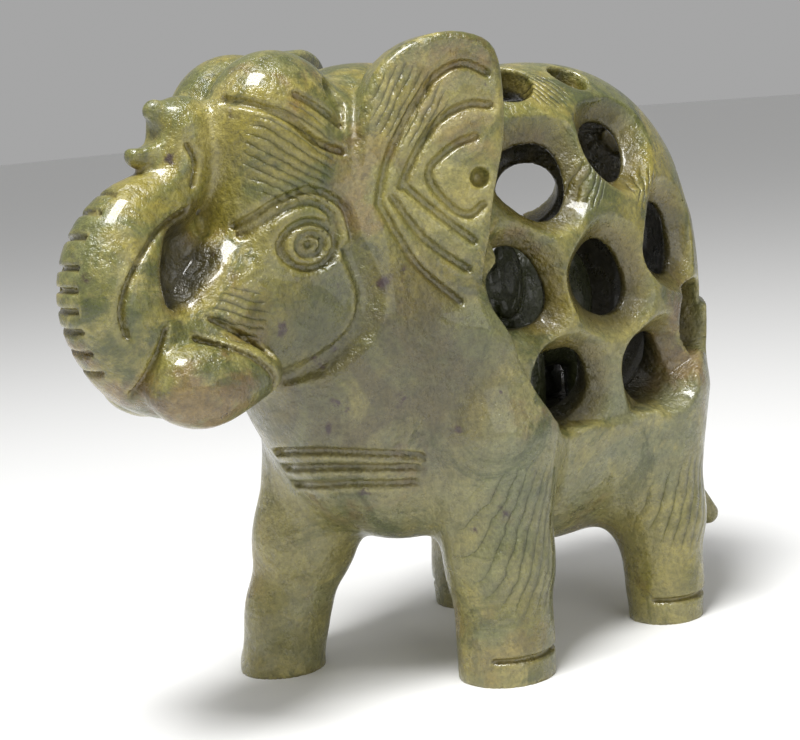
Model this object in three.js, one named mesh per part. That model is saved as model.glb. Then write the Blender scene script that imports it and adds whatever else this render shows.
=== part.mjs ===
// A small standing elephant carved from one block of soapstone, its trunk curled up to its forehead.
// The body is hollow under a cage of round holes, and a smaller elephant stands loose inside it.
// Millimetres. The elephant faces -Y, its left side is +X and it stands on the plane z = 0.
import * as THREE from "three";

// Driving sizes
const HEIGHT = 75; // ground to the tops of the ears
const CAGE_WALL = 4.8; // thickness of the pierced stone around the hollow
const HOLE_SCALE = 1; // share by which every hole of the cage is widened
const GROOVE_DEPTH = 0.75; // depth of the carved lines
const GROOVE_WIDTH = 1.3; // width of the carved lines
const NOTCH_WIDTH = 0.9; // width of the small cuts across the trunk's rim and round the feet
const DISH_DEPTH = 2.8; // depth of the shallow dish round each hole
const DISH_SPREAD = 3; // how far the dish reaches beyond the hole
const DISH_END = { above: 64, behind: 25, over: 7 }; // the dishes fade out towards the back's ridge and the rump
const LOOSE_GAP = 0.35; // clearance between the inner elephant's feet and the floor of the hollow
const INNER_HEIGHT = 22.3; // height of the inner elephant

// The form below is written for an elephant this high, from soles to ear tops, and scaled as a whole to HEIGHT
const FORM_HEIGHT = 76.8;
const SOLES = -1.4; // height of the soles in the form's own frame
const SCALE = HEIGHT / FORM_HEIGHT;
const INNER_FORM_HEIGHT = 75;
const INNER_SCALE = INNER_HEIGHT / INNER_FORM_HEIGHT / SCALE;

// Meshing
const OUTER_CELL = 0.8; // grid step of the outer elephant
const OUTER_TRIANGLES = 9000;
const INNER_CELL = 0.95; // grid step of the inner elephant
const INNER_TRIANGLES = 800;

// Colours of the stone
const STONE_COLOUR = 0x9a9a62;
const INNER_STONE_COLOUR = 0x6f7448;

// How softly each form runs into the next
const SOFT = {
  chest: 4, shoulder: 3, neck: 5, throat: 4, legs: 4, leg: 3, tail: 1.5, head: 2.5, dome: 2, jaw: 4,
  curl: 1, trunk: 1.6, nostril: 0.6, tusk: 0.8, hollow: 0.8, hole: 0.4, line: 0.3,
};

// Distance functions. Each takes a point and gives a signed distance, negative inside the stone.

const blend = (a, b, k) => {
  const h = Math.max(k - Math.abs(a - b), 0) / k;
  return Math.min(a, b) - h * h * k * 0.25;
};
const carve = (a, b, k) => -blend(-a, b, k);
const length2 = (a, b) => Math.sqrt(a * a + b * b);
const length3 = (a, b, c) => Math.sqrt(a * a + b * b + c * c);
const FAR = 1e3;
const clamp01 = (t) => Math.min(Math.max(t, 0), 1);

// An ellipsoid with centre c and half-sizes r
function ellipsoid(x, y, z, c, r) {
  const ax = (x - c[0]) / r[0];
  const ay = (y - c[1]) / r[1];
  const az = (z - c[2]) / r[2];
  const k0 = length3(ax, ay, az);
  const k1 = length3(ax / r[0], ay / r[1], az / r[2]);
  return k1 > 1e-9 ? (k0 * (k0 - 1)) / k1 : -Math.min(...r);
}

// A squared-off ellipsoid, first-order distance
function squaredEllipsoid(x, y, z, c, r, power) {
  const ax = Math.abs(x - c[0]) / r[0];
  const ay = Math.abs(y - c[1]) / r[1];
  const az = Math.abs(z - c[2]) / r[2];
  const px = Math.pow(ax, power - 1);
  const py = Math.pow(ay, power - 1);
  const pz = Math.pow(az, power - 1);
  const sum = px * ax + py * ay + pz * az;
  if (sum < 1e-6) return -Math.min(...r);
  const k = Math.pow(sum, 1 / power);
  const slope = (k / sum) * length3(px / r[0], py / r[1], pz / r[2]);
  return (k - 1) / slope;
}

// A chain of tapered round bars through points [x, y, z, radius]
function chain(x, y, z, points, k = 0) {
  let d = 1e9;
  for (let i = 0; i + 1 < points.length; i++) {
    const a = points[i];
    const b = points[i + 1];
    const bx = b[0] - a[0];
    const by = b[1] - a[1];
    const bz = b[2] - a[2];
    const dx = x - a[0];
    const dy = y - a[1];
    const dz = z - a[2];
    const t = clamp01((dx * bx + dy * by + dz * bz) / (bx * bx + by * by + bz * bz));
    const r = a[3] + (b[3] - a[3]) * t;
    const e = length3(dx - t * bx, dy - t * by, dz - t * bz) - r;
    d = k > 0 ? blend(d, e, k) : Math.min(d, e);
  }
  return d;
}

// Distance in a plane from (u, v) to a line through points
function lineDistance(u, v, points) {
  let best = 1e9;
  for (let i = 0; i + 1 < points.length; i++) {
    const [au, av] = points[i];
    const [bu, bv] = points[i + 1];
    const du = bu - au;
    const dv = bv - av;
    const t = clamp01(((u - au) * du + (v - av) * dv) / (du * du + dv * dv));
    const e = length2(u - au - t * du, v - av - t * dv);
    if (e < best) best = e;
  }
  return best;
}

// Signed distance in a plane from (u, v) to a closed outline
function outlineDistance(u, v, points) {
  let best = 1e9;
  let inside = false;
  for (let i = 0, j = points.length - 1; i < points.length; j = i++) {
    const [au, av] = points[i];
    const [bu, bv] = points[j];
    const du = bu - au;
    const dv = bv - av;
    const t = clamp01(((u - au) * du + (v - av) * dv) / (du * du + dv * dv));
    const e = length2(u - au - t * du, v - av - t * dv);
    if (e < best) best = e;
    if (av > v !== bv > v && u < au + ((v - av) / dv) * du) inside = !inside;
  }
  return inside ? -best : best;
}

// Points on a smooth curve through the given points, with any number of values each
function smooth(points, steps, closed = false) {
  const n = points.length;
  const at = (i) => (closed ? points[(i + n) % n] : points[Math.min(Math.max(i, 0), n - 1)]);
  const out = [];
  const spans = closed ? n : n - 1;
  for (let i = 0; i < spans; i++) {
    const [p0, p1, p2, p3] = [at(i - 1), at(i), at(i + 1), at(i + 2)];
    for (let s = 0; s < steps; s++) {
      const t = s / steps;
      out.push(p1.map((_, k) => 0.5 * (2 * p1[k] + (p2[k] - p0[k]) * t +
        (2 * p0[k] - 5 * p1[k] + 4 * p2[k] - p3[k]) * t * t +
        (3 * p1[k] - p0[k] - 3 * p2[k] + p3[k]) * t * t * t)));
    }
  }
  if (!closed) out.push(points[n - 1]);
  return out;
}

// Part of an ellipse in the side view, from angle a0 to a1 in degrees
function arc(cy, cz, ry, rz, a0, a1, steps) {
  const out = [];
  for (let i = 0; i <= steps; i++) {
    const a = ((a0 + ((a1 - a0) * i) / steps) * Math.PI) / 180;
    out.push([cy + ry * Math.cos(a), cz + rz * Math.sin(a)]);
  }
  return out;
}

// The body
const BODY_CENTRE = [0, 11.5, 41];
const BODY_HALF = [19.5, 27, 31.5];
const BODY_POWER = 2.35;
const CHEST = { centre: [0, -11, 35.5], half: [14.5, 19, 21] };
const SHOULDER = { centre: [10, -7.5, 38], half: [9, 10, 15] };
const NECK = { centre: [0, -14.5, 56.5], half: [14, 19, 16.5] };
const THROAT = { centre: [0, -20, 43], half: [15, 13.5, 18] };

// Legs from shoulder or hip to sole: [x, y, z, radius]
const LEGS = [
  [[-9, -16.5, 26, 8], [-10.9, -19.6, 15, 6], [-12.3, -22.4, 6, 4.7], [-13, -23.4, -0.8, 5.4]],
  [[11.2, -8, 27, 9], [13, -9.2, 12, 6], [13.4, -9.6, 4, 5.2], [13.5, -9.9, -0.8, 5.9]],
  [[-10.5, 14, 27, 9.5], [-12.8, 12.5, 12, 6.2], [-13.4, 11.6, 4, 5], [-13.5, 11.4, -0.8, 5.3]],
  [[11, 20, 27, 9.5], [13.4, 20, 12, 5.7], [14.4, 19.4, 4, 4.4], [14.6, 19, -0.8, 4.8]],
];
const TAIL = [[0, 36.5, 50, 2.6], [0, 38.5, 36, 2.4], [1, 37.5, 20, 2.3], [2, 39, 11, 2.3], [3.2, 43, 5.8, 1.6]];
const TOE_LINE = { above: 3.2, from: 16 }; // the carved line round the outer half of each foot

// The head
const SKULL = { centre: [0, -27.5, 57], half: [10.2, 11.2, 14.5], power: 2.5 };
const DOME = { centre: [3.4, -30, 66.4], half: [7.2, 8.4, 8.6] };
const JAW = { centre: [0, -31, 45.5], half: [9.6, 9.5, 8.6] };
const TRUNK = smooth([
  [0, -36, 47.5, 8.6], [0, -42.5, 43, 7.2], [0, -48, 43.6, 6.2], [0, -51, 48.5, 5.9], [0, -50.8, 53.5, 5.3],
  [0, -48.4, 57.4, 4.2], [0, -44.2, 59.4, 3.6], [0, -41.4, 62.3, 3.3], [0, -40.4, 65, 3.4], [0, -40.1, 67.3, 3.4],
], 3);
const TRUNK_WEB = { centre: [0, -44, 51.5], half: [1.8, 6.5, 8] };
const TRUNK_POCKET = [[4.6, -41.4, 57, 1.6], [4.6, -43.6, 54.4, 3], [4.4, -46, 51.4, 2.4], [4.4, -48.2, 49, 1]];
const TRUNK_LIPS = [
  [[0, -42, 64.6, 2.6], [0, -46.5, 64.7, 1.3]],
  [[0, -41, 67.5, 2.9], [0, -43.5, 69.3, 1.3]],
];
const NOSTRIL = { centre: [0, -46, 67.1], half: [3.6, 2.4, 1.6] };
const FAR_TUSK_SHORTER = 2.4; // the right tusk ends this much short of the left one
const TUSK = smooth([[8.2, -38.6, 40.2, 2.2], [7.4, -42, 40.2, 3.6], [6.6, -45.6, 39.8, 4.4], [6.2, -48, 40.2, 3.9]], 3);

// Cuts across the trunk's front, at these angles round the curl's centre, between two distances from the middle
const RIM = { centre: [-44.5, 51], inner: 9, from: -4.6, to: 1.8, cuts: [122, 136, 151, 167, 178, 188, 198, 209, 220] };

// The ears: a plate that flares from the head to its free rear edge. The outline is drawn in the plate's
// own plane, as distance forward of the rear edge and height.
const EAR_REAR = [19.6, -8.5];
const EAR_TURN = (27 * Math.PI) / 180;
const EAR_OUTLINE = smooth([
  [18.4, 60.5], [16.4, 69.5], [12.6, 73.8], [7.4, 75.4], [3.2, 74.9], [0.8, 73], [0.2, 68.5], [0.6, 62.6],
  [2.2, 56.8], [3.2, 51.8], [4.4, 47], [4.4, 43.5], [3.9, 39.8], [8.2, 41.6], [12.6, 45.6], [16.2, 51.5],
], 3, true);
const EAR_THICKNESS = 6;
const EAR_EDGE = 1.2; // rounding of the ear's edge
const EAR_BLEND = 0.8; // softening where the ear meets the head
const EAR_FADE = { below: 47, over: 5, blend: 3 }; // the ear melts into the shoulder at its foot

// Carved lines of the ears, drawn in the ear's plane
const EAR_LINES = [
  smooth([[16.3, 56.9], [14.7, 61.8], [11.2, 67.3], [8.3, 70.5], [5.1, 71.7], [2.2, 70.4]], 3),
  smooth([[13.4, 58.5], [11.1, 62.5], [8.3, 65.6], [5, 67], [2.2, 66.8]], 3),
  smooth([[4.2, 63.4], [7.2, 62.4], [10.1, 59.6], [7.8, 55.8], [5.6, 54.6], [3.9, 55.6]], 3),
  smooth([[12.8, 58.4], [9, 54.8], [5.3, 51.6]], 3),
  smooth([[14.6, 57.4], [11.2, 52.4], [6.4, 48.5]], 3),
  smooth([[16.1, 56.6], [14.4, 53], [12.3, 49.3], [7.7, 44.8]], 3),
];
const EAR_PIT = [4, 58.7, 1.2];

// Carved lines of the head, drawn in the side view
const EYE = { y: -31.4, z: 53.3, ry: 3.1, rz: 2.6, pit: 0.9 };
const HEAD_LINES = [
  arc(EYE.y, EYE.z, EYE.ry, EYE.rz, 0, 360, 14),
  smooth([[-37.5, 55.8], [-35.4, 57.5], [-33.4, 58.5], [-30.5, 59], [-27.9, 57.6], [-26.8, 56], [-26.6, 53]], 3),
  [[-31.4, 69.7], [-24.4, 65.4]],
  smooth([[-38.4, 70.3], [-33.5, 67.8], [-29.9, 64.7], [-24, 62.4]], 3),
];

// Wider, shallow valleys behind the cheek and behind the brow
const HEAD_VALLEYS = [
  smooth([[-26.8, 52], [-26, 47.5], [-27.4, 43], [-31, 39.6], [-35.5, 37.8]], 3),
  smooth([[-25.6, 70], [-24, 66.3], [-22.9, 61.5], [-22.6, 57.5]], 3),
];
const VALLEY_WIDTH = 2.6;

const TRUNK_LINES = [
  smooth([[-43.4, 58.6], [-48.2, 56.6], [-52.2, 53], [-54, 49.3], [-53.6, 46.2]], 3),
  smooth([[-42, 65.4], [-41.4, 63.4], [-42.2, 61]], 3),
  smooth([[-46, 44.8], [-42.9, 43.2], [-39.6, 40.6], [-38.6, 38.8]], 3),
  smooth([[-49.4, 46.4], [-51.2, 42.8], [-52.4, 39]], 3),
  smooth([[-43.6, 46.6], [-40.6, 44.4], [-38, 41.8]], 3),
];

// Carved lines of the chest, drawn in the front view
const CHEST_LINES = [
  smooth([[-3, 28.3], [1, 28.9], [6, 29], [10, 28.2], [12, 26.8]], 3),
  smooth([[-4, 26], [1, 26.7], [6, 26.9], [10, 26.2], [11.6, 25.4]], 3),
  smooth([[-4.4, 23.6], [1, 24.3], [6, 24.6], [10.6, 23.8]], 3),
];
const CHEST_FRONT = -19;

// The cage: hole centres on the flank [x, y, z, radius], cut on both sides, and single holes
const FLANK_HOLES = [
  [16.8, 0.3, 59.3, 5], [16.4, 15.4, 62.2, 4.2], [17.2, -6.4, 44.6, 5], [19.3, 9, 44.2, 4.8],
  [18.2, 23.4, 48, 4.7], [18.3, 0.6, 31, 4.6], [19, 17, 31, 4.2], [15, 29, 36.5, 4.2],
  [8, 14.6, 70, 2], [7.5, 4, 71.5, 3.1],
];
const SINGLE_HOLES = [[2.5, 32.5, 62, 2.6], [0, 16, 72, 3], [10.8, 32.6, 54, 4.2], [-13.6, 28.4, 55.6, 4.2]];
const HOLE_AIM = [0, 11.5, 44];
const FLANK_AIM_PULL = 0.5; // how far a flank hole keeps to the sideways direction
const HAND_WAVER = 0.4; // how far the holes' outlines stray from round
const WAVER_TURN = [0.55, 1.3, 0.5, 0.7]; // pitch and phase of that straying, up and along the body
const HOLE_REACH = 14; // how far a hole runs in from its centre
const CAGE_TOP = 66.8;
const CAGE_FLOOR = 27;
const CAGE_ROOM = { front: -14, below: 20 }; // nothing is pierced ahead of or below this
const CAGE_EDGE = 0.8; // width of the slope from the plain stone down to the cage
const HOLLOW_CROWN = 4; // extra stone over the top of the hollow
const HOLLOW_CENTRE = [0, 11.5, 45];
const HOLLOW_POWER = 2.4;
const SADDLE_STEP = 0.9; // how far the plain stone stands proud of the cage

// Where the inner elephant's soles stand
const INNER_PLACE = [0, 10, CAGE_FLOOR + LOOSE_GAP / SCALE];

// The boundary between the plain lower body and the cage, in the side view
const SADDLE = smooth([
  [3, 76], [-4, 68], [-8.2, 58], [-8.6, 49], [-9.9, 40.7], [-4.4, 29.7], [4.6, 26.9], [13.8, 27.2],
  [23.4, 31.5], [33, 38], [44, 42], [46, 60], [30, 78],
], 3, true);

const holes = [];
function addHole(x, y, z, r, side) {
  const dir = [x - HOLE_AIM[0], (y - HOLE_AIM[1]) * FLANK_AIM_PULL, (z - HOLE_AIM[2]) * FLANK_AIM_PULL];
  if (side === 0) dir[1] = y - HOLE_AIM[1];
  if (side === 0) dir[2] = z - HOLE_AIM[2];
  const n = length3(...dir);
  holes.push({ at: [x, y, z], dir: dir.map((v) => v / n), r: r * HOLE_SCALE, twin: side === 1 });
}
for (const [x, y, z, r] of FLANK_HOLES) addHole(x, y, z, r, 1);
for (const [x, y, z, r] of SINGLE_HOLES) addHole(x, y, z, r, 0);

// Distance to a hole with a dish of the given spread round it
function holeDistance(x, y, z, hole, flare) {
  const dx = x - hole.at[0];
  const dy = y - hole.at[1];
  const dz = z - hole.at[2];
  const along = dx * hole.dir[0] + dy * hole.dir[1] + dz * hole.dir[2];
  if (along < -HOLE_REACH) return FAR;
  const ex = dx - along * hole.dir[0];
  const ey = dy - along * hole.dir[1];
  const ez = dz - along * hole.dir[2];
  return length3(ex, ey, ez) - hole.r - flare;
}

function legsAndTail(x, y, z) {
  let d = 1e9;
  for (const leg of LEGS) d = Math.min(d, chain(x, y, z, leg, SOFT.leg));
  return blend(d, chain(x, y, z, TAIL, SOFT.tail), SOFT.tail);
}

function headForm(x, y, z) {
  const ax = Math.abs(x);
  let d = squaredEllipsoid(x, y, z, SKULL.centre, SKULL.half, SKULL.power);
  d = blend(d, ellipsoid(ax, y, z, DOME.centre, DOME.half), SOFT.dome);
  d = blend(d, ellipsoid(x, y, z, JAW.centre, JAW.half), SOFT.jaw);
  let trunk = chain(x, y, z, TRUNK, SOFT.curl);
  trunk = blend(trunk, ellipsoid(x, y, z, TRUNK_WEB.centre, TRUNK_WEB.half), SOFT.curl);
  for (const lip of TRUNK_LIPS) trunk = blend(trunk, chain(x, y, z, lip), SOFT.curl);
  trunk = carve(trunk, ellipsoid(x, y, z, NOSTRIL.centre, NOSTRIL.half), SOFT.nostril);
  d = carve(blend(d, trunk, SOFT.trunk), chain(ax, y, z, TRUNK_POCKET, SOFT.curl), SOFT.curl);
  const back = x < 0 ? FAR_TUSK_SHORTER : 0;
  return blend(d, chain(ax, y - back, z, TUSK, SOFT.curl), SOFT.tusk);
}

// Distances in the ear's own plane: forward of the rear edge, and outward of the outer face
function earFrame(ax, y) {
  const dx = ax - EAR_REAR[0];
  const dy = y - EAR_REAR[1];
  const sin = Math.sin(EAR_TURN);
  const cos = Math.cos(EAR_TURN);
  return [-dx * sin - dy * cos, dx * cos - dy * sin];
}

function earForm(ax, y, z) {
  const [forward, outward] = earFrame(ax, y);
  if (Math.abs(outward) > 15 || forward < -12 || forward > 30) return 12;
  const flat = outlineDistance(forward, z, EAR_OUTLINE) + EAR_EDGE;
  const thick = Math.abs(outward + EAR_THICKNESS / 2) - EAR_THICKNESS / 2 + EAR_EDGE;
  return length2(Math.max(flat, 0), Math.max(thick, 0)) + Math.min(Math.max(flat, thick), 0) - EAR_EDGE;
}

// A line of groove in the surface whose distance is d, at a distance e along the surface
function groove(d, e, width = GROOVE_WIDTH) {
  const r = width / 2;
  const depth = GROOVE_DEPTH / r;
  return r - length2(d / depth, e);
}

// The surface d with the lines of the face, ears, trunk, chest and feet cut into it
function carvedLines(x, y, z, d, ears) {
  const ax = Math.abs(x);
  let cut = -1e9;
  const add = (e, width) => {
    cut = Math.max(cut, groove(d, e, width));
  };
  const [forward, outward] = earFrame(ax, y);
  if (ears < 1.5 && outward > -EAR_THICKNESS / 2) {
    for (const line of EAR_LINES) add(lineDistance(forward, z, line));
    cut = Math.max(cut, EAR_PIT[2] - length3(d / 1.6, forward - EAR_PIT[0], z - EAR_PIT[1]));
  } else if (y < -20 && ax > 4 && z > 36) {
    for (const line of HEAD_LINES) add(lineDistance(y, z, line));
    for (const line of HEAD_VALLEYS) add(lineDistance(y, z, line), VALLEY_WIDTH);
    cut = Math.max(cut, EYE.pit - length3(d / 1.4, y - EYE.y, z - EYE.z));
  }
  if (y < -38 && ax > 2.4 && z < 70) {
    for (const line of TRUNK_LINES) add(lineDistance(y, z, line), NOTCH_WIDTH);
  }
  if (y < CHEST_FRONT && z < 34) {
    for (const line of CHEST_LINES) add(lineDistance(x, z, line));
  }
  const ry = y - RIM.centre[0];
  const rz = z - RIM.centre[1];
  const angle = ((Math.atan2(rz, ry) * 180) / Math.PI + 360) % 360;
  if (length2(ry, rz) > RIM.inner && x > RIM.from && x < RIM.to && y < -40) {
    for (const cutAngle of RIM.cuts) {
      add((Math.abs(angle - cutAngle) * Math.PI * length2(ry, rz)) / 180, NOTCH_WIDTH);
    }
  }
  if (ax > TOE_LINE.from && z < SOLES + 8) add(Math.abs(z - SOLES - TOE_LINE.above), NOTCH_WIDTH);
  return cut > -3 ? carve(d, -cut, SOFT.line) : d;
}

function elephant(x, y, z) {
  const ax = Math.abs(x);
  let d = squaredEllipsoid(x, y, z, BODY_CENTRE, BODY_HALF, BODY_POWER);
  d = blend(d, ellipsoid(x, y, z, CHEST.centre, CHEST.half), SOFT.chest);
  d = blend(d, ellipsoid(ax, y, z, SHOULDER.centre, SHOULDER.half), SOFT.shoulder);
  d = blend(d, ellipsoid(x, y, z, NECK.centre, NECK.half), SOFT.neck);
  d = blend(d, ellipsoid(x, y, z, THROAT.centre, THROAT.half), SOFT.throat);
  d = blend(d, legsAndTail(x, y, z), SOFT.legs);

  // The cage lies a little below the plain stone around it
  const pierced = y > CAGE_ROOM.front && z > CAGE_ROOM.below;
  const cage = pierced ? clamp01(0.5 - outlineDistance(y, z, SADDLE) / CAGE_EDGE) : 0;
  d = blend(d + SADDLE_STEP * cage, headForm(x, y, z), SOFT.head);

  // The hollow of the body and the holes into it
  if (pierced) {
    const half = BODY_HALF.map((h, i) => h - CAGE_WALL - (i === 2 ? HOLLOW_CROWN : 0));
    let hollow = squaredEllipsoid(x, y, z, HOLLOW_CENTRE, half, HOLLOW_POWER);
    hollow = Math.max(hollow, CAGE_FLOOR - z, z - CAGE_TOP);
    const beyond = Math.max(z - DISH_END.above, y - DISH_END.behind);
    const fade = clamp01(1 - beyond / DISH_END.over);
    const flare = DISH_SPREAD * clamp01(1 + d / DISH_DEPTH) * cage * fade;
    let drilled = FAR;
    const wy = y + HAND_WAVER * Math.sin(z * WAVER_TURN[0] + WAVER_TURN[1]);
    const wz = z + HAND_WAVER * Math.sin(y * WAVER_TURN[2] + WAVER_TURN[3]);
    for (const h of holes) {
      const e = h.twin ? holeDistance(ax, wy, wz, h, flare) : holeDistance(x, wy, wz, h, 0);
      drilled = Math.min(drilled, e);
    }
    d = carve(carve(d, hollow, SOFT.hollow), drilled, SOFT.hole);
  }
  const ears = earForm(ax, y, z);
  const low = clamp01((EAR_FADE.below - z) / EAR_FADE.over);
  d = blend(d, ears, EAR_BLEND + EAR_FADE.blend * low);
  if (d > -3 && d < 3) d = carvedLines(x, y, z, d, ears);
  return Math.max(d, SOLES - z);
}

// The inner elephant, in the same form units: plain body, head, ears, trunk and legs
const INNER_BODY = { centre: [0, 12, 42], half: [19, 29, 28], power: 2.4 };
const INNER_HEAD = { centre: [0, -24, 54], half: [14, 15, 19] };
const INNER_EAR = { centre: [13, -17, 56], half: [5, 9, 16] };
const INNER_TRUNK = [[0, -36, 50, 8], [0, -41, 34, 6.5], [0, -38, 20, 5.5]];
const INNER_LEGS = [
  [[12, -9, 26, 9], [12, -9, 0, 8]],
  [[12, 27, 26, 9], [12, 27, 0, 8]],
];

function innerElephant(x, y, z) {
  const ax = Math.abs(x);
  let d = squaredEllipsoid(x, y, z, INNER_BODY.centre, INNER_BODY.half, INNER_BODY.power);
  d = blend(d, ellipsoid(x, y, z, INNER_HEAD.centre, INNER_HEAD.half), 6);
  d = blend(d, ellipsoid(ax, y, z, INNER_EAR.centre, INNER_EAR.half), 2);
  d = blend(d, chain(x, y, z, INNER_TRUNK, 2), 4);
  for (const leg of INNER_LEGS) d = blend(d, chain(ax, y, z, leg), 4);
  return Math.max(d, -z);
}

// The rooms that the two forms are worked out in, low and high corners
const OUTER_ROOM = [[-22, -58, SOLES], [22, 48, 76]];
const INNER_ROOM = [[-22, -50, 0], [22, 43, 75]];

// Meshing

// Values of f on a grid, changed where needed so that no cell holds two separate bits of surface
function sample(f, low, high, step) {
  const n = low.map((v, i) => Math.ceil((high[i] - v) / step) + 1);
  const value = new Float64Array(n[0] * n[1] * n[2]);
  const id = (i, j, k) => (k * n[1] + j) * n[0] + i;
  for (let k = 0; k < n[2]; k++) {
    for (let j = 0; j < n[1]; j++) {
      for (let i = 0; i < n[0]; i++) {
        value[id(i, j, k)] = f(low[0] + i * step, low[1] + j * step, low[2] + k * step) || 1e-6;
      }
    }
  }
  const strides = [1, n[0], n[0] * n[1]];
  const solid = (a) => value[a] < 0;
  const fill = (a, b) => {
    const c = Math.abs(value[a]) < Math.abs(value[b]) ? a : b;
    value[c] = -0.05 * step;
  };
  for (let changed = true; changed; ) {
    changed = false;
    for (let k = 0; k + 1 < n[2]; k++) {
      for (let j = 0; j + 1 < n[1]; j++) {
        for (let i = 0; i + 1 < n[0]; i++) {
          const a = id(i, j, k);
          for (const [s, t] of [[0, 1], [0, 2], [1, 2]]) {
            const b = a + strides[s];
            const c = a + strides[t];
            const e = b + strides[t];
            if (solid(a) === solid(e) && solid(b) === solid(c) && solid(a) !== solid(b)) {
              if (solid(a)) fill(b, c);
              else fill(a, e);
              changed = true;
            }
          }
          const corner = [0, 1, 2, 3, 4, 5, 6, 7].map(
            (q) => a + (q & 1) * strides[0] + ((q >> 1) & 1) * strides[1] + ((q >> 2) & 1) * strides[2]);
          const filled = corner.filter(solid).length;
          if (filled !== 2 && filled !== 6) continue;
          for (let q = 0; q < 4; q++) {
            const odd = solid(corner[q]) === solid(corner[7 - q]) && solid(corner[q]) === (filled === 2);
            if (!odd) continue;
            if (filled === 2) fill(corner[q ^ 1], corner[q ^ 2]);
            else fill(corner[q], corner[7 - q]);
            changed = true;
          }
        }
      }
    }
  }
  return { n, value, id, strides, low, step };
}

// One vertex in each cell that the surface crosses, and four-sided faces split in two
function surface(grid, f) {
  const { n, value, id, strides, low, step } = grid;
  const vertexOf = new Int32Array(value.length).fill(-1);
  const points = [];
  const edges = [];
  for (let q = 0; q < 8; q++) {
    for (let s = 0; s < 3; s++) if (!((q >> s) & 1)) edges.push([q, q | (1 << s)]);
  }
  const offset = (q) => (q & 1) * strides[0] + ((q >> 1) & 1) * strides[1] + ((q >> 2) & 1) * strides[2];
  for (let k = 0; k + 1 < n[2]; k++) {
    for (let j = 0; j + 1 < n[1]; j++) {
      for (let i = 0; i + 1 < n[0]; i++) {
        const a = id(i, j, k);
        let count = 0;
        const sum = [0, 0, 0];
        for (const [q, r] of edges) {
          const va = value[a + offset(q)];
          const vb = value[a + offset(r)];
          if (va < 0 === vb < 0) continue;
          const t = va / (va - vb);
          for (let s = 0; s < 3; s++) {
            const ca = (q >> s) & 1;
            sum[s] += ca + (((r >> s) & 1) - ca) * t;
          }
          count++;
        }
        if (!count) continue;
        vertexOf[a] = points.length;
        points.push([i, j, k].map((c, s) => low[s] + (c + sum[s] / count) * step));
      }
    }
  }
  const faces = [];
  for (let k = 1; k + 1 < n[2]; k++) {
    for (let j = 1; j + 1 < n[1]; j++) {
      for (let i = 1; i + 1 < n[0]; i++) {
        const a = id(i, j, k);
        for (let s = 0; s < 3; s++) {
          if (value[a] < 0 === value[a + strides[s]] < 0) continue;
          const t = strides[(s + 1) % 3];
          const u = strides[(s + 2) % 3];
          const ring = [a, a - t, a - t - u, a - u].map((c) => vertexOf[c]);
          if (value[a] >= 0) ring.reverse();
          faces.push([ring[0], ring[1], ring[2]], [ring[0], ring[2], ring[3]]);
        }
      }
    }
  }
  for (const p of points) settle(p, f, step);
  return { points, faces };
}

// The faces of the largest closed surface, without any bubble sealed in the stone
function largest(points, faces) {
  const leader = points.map((_, i) => i);
  const find = (a) => {
    while (leader[a] !== a) {
      leader[a] = leader[leader[a]];
      a = leader[a];
    }
    return a;
  };
  for (const [a, b, c] of faces) {
    leader[find(a)] = find(b);
    leader[find(b)] = find(c);
  }
  const count = new Map();
  for (const [a] of faces) count.set(find(a), (count.get(find(a)) || 0) + 1);
  const main = [...count].sort((p, q) => q[1] - p[1])[0][0];
  return faces.filter(([a]) => find(a) === main);
}

// Moves a point onto the surface of f, by at most half a grid step
function settle(p, f, step) {
  const start = [...p];
  for (let turn = 0; turn < 2; turn++) {
    const d = f(p[0], p[1], p[2]);
    const e = 0.1;
    const g = [
      f(p[0] + e, p[1], p[2]) - f(p[0] - e, p[1], p[2]),
      f(p[0], p[1] + e, p[2]) - f(p[0], p[1] - e, p[2]),
      f(p[0], p[1], p[2] + e) - f(p[0], p[1], p[2] - e),
    ].map((v) => v / (2 * e));
    const g2 = Math.max(g[0] * g[0] + g[1] * g[1] + g[2] * g[2], 0.25);
    for (let s = 0; s < 3; s++) {
      p[s] -= (d * g[s]) / g2;
      p[s] = Math.min(Math.max(p[s], start[s] - step / 2), start[s] + step / 2);
    }
  }
}

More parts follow.
